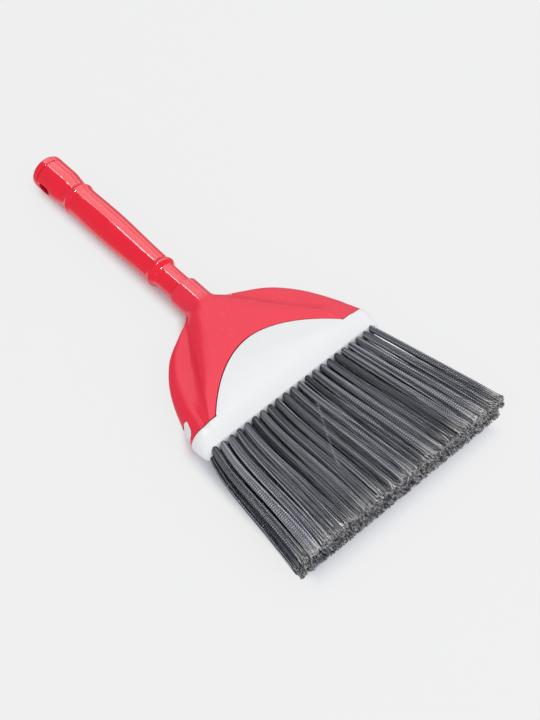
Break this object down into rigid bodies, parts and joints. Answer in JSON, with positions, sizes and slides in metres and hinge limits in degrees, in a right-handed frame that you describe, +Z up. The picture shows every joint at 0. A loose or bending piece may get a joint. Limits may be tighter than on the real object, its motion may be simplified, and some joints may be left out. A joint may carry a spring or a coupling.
{
  "type": "hand broom",
  "caption": "Short-handled hand broom: screw-in grip, bell-shaped head cover, tuft block and three rows of fanned bristle tufts.",
  "frame": {"origin": "under the middle of the broom's bounding box, on the surface that it lies on", "axes": "+Y from the bristle tips to the handle's end, +Z up out of the face that lies upwards, +X across the head"},
  "size_m": [0.2081, 0.414, 0.0304],
  "materials": {
    "cover_red": "glossy moulded, fine scuffs",
    "handle_red": "glossy moulded",
    "cap_red": "glossy moulded",
    "block_white": "satin moulded",
    "bristle_grey": "crimped filament, flagged tips"
  },
  "bodies": {
    "head": {"head_cover": "cover_red", "brush_block": "block_white", "bristles_front": "bristle_grey", "bristles_middle": "bristle_grey", "bristles_back": "bristle_grey"},
    "grip": {"handle": "handle_red", "end_cap": "cap_red"}
  },
  "joints": [
    {"name": "handle_turn", "type": "hinge", "parent": "head", "child": "grip", "pos_m": [0, 0.033, 0.0152], "axis": [0, 1, 0], "range_deg": [0, 1530]}
  ]
}
